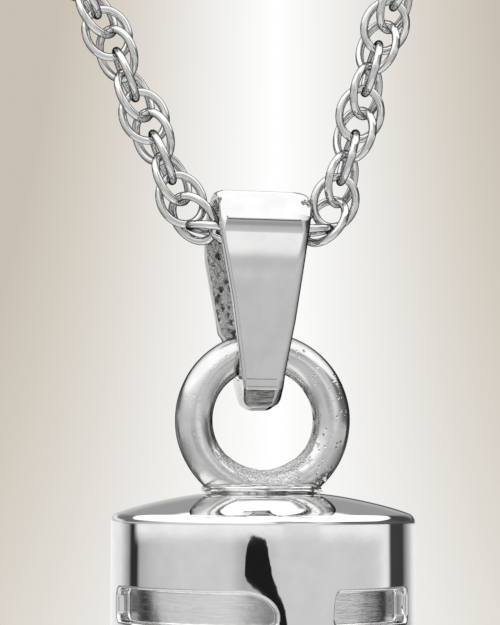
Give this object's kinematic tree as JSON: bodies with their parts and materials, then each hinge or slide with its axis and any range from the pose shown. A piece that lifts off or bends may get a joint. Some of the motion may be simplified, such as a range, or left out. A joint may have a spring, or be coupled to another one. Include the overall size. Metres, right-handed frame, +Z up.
{
  "type": "keepsake urn pendant on a chain",
  "caption": "Hollow cylinder keepsake urn with a domed cap, sunk panels and a soldered ring, hung by a tapered bail on a loop of rope chain with a spring ring clasp.",
  "frame": {"origin": "middle of the clasp at the nape, where the necklace hangs on a neck", "axes": "+Z up, the pendant hangs at the front, which faces -Y, and +X is the right of the front view"},
  "size_m": [0.1044, 0.1059, 0.1638],
  "materials": {
    "chain_silver": "polished silver wire links",
    "clasp_silver": "polished silver",
    "bail_silver": "polished silver outside, rough as cast inside",
    "urn_silver": "polished silver with scratched sunk panels",
    "plug_silver": "satin silver"
  },
  "bodies": {
    "chain": {"chain": "chain_silver", "clasp": "clasp_silver"},
    "bail": {"bail": "bail_silver"},
    "urn": {"urn_body": "urn_silver", "filler_plug": "plug_silver"}
  },
  "joints": [
    {"name": "bail_swing", "type": "hinge", "parent": "chain", "child": "bail", "pos_m": [0, -0.1, -0.133], "axis": [0.9781, 0.2079, 0], "range_deg": [-90, 90]},
    {"name": "urn_swing", "type": "hinge", "parent": "bail", "child": "urn", "pos_m": [0.0001, -0.1, -0.13708], "axis": [0.9903, 0.1392, 0], "range_deg": [-60, 60]}
  ]
}
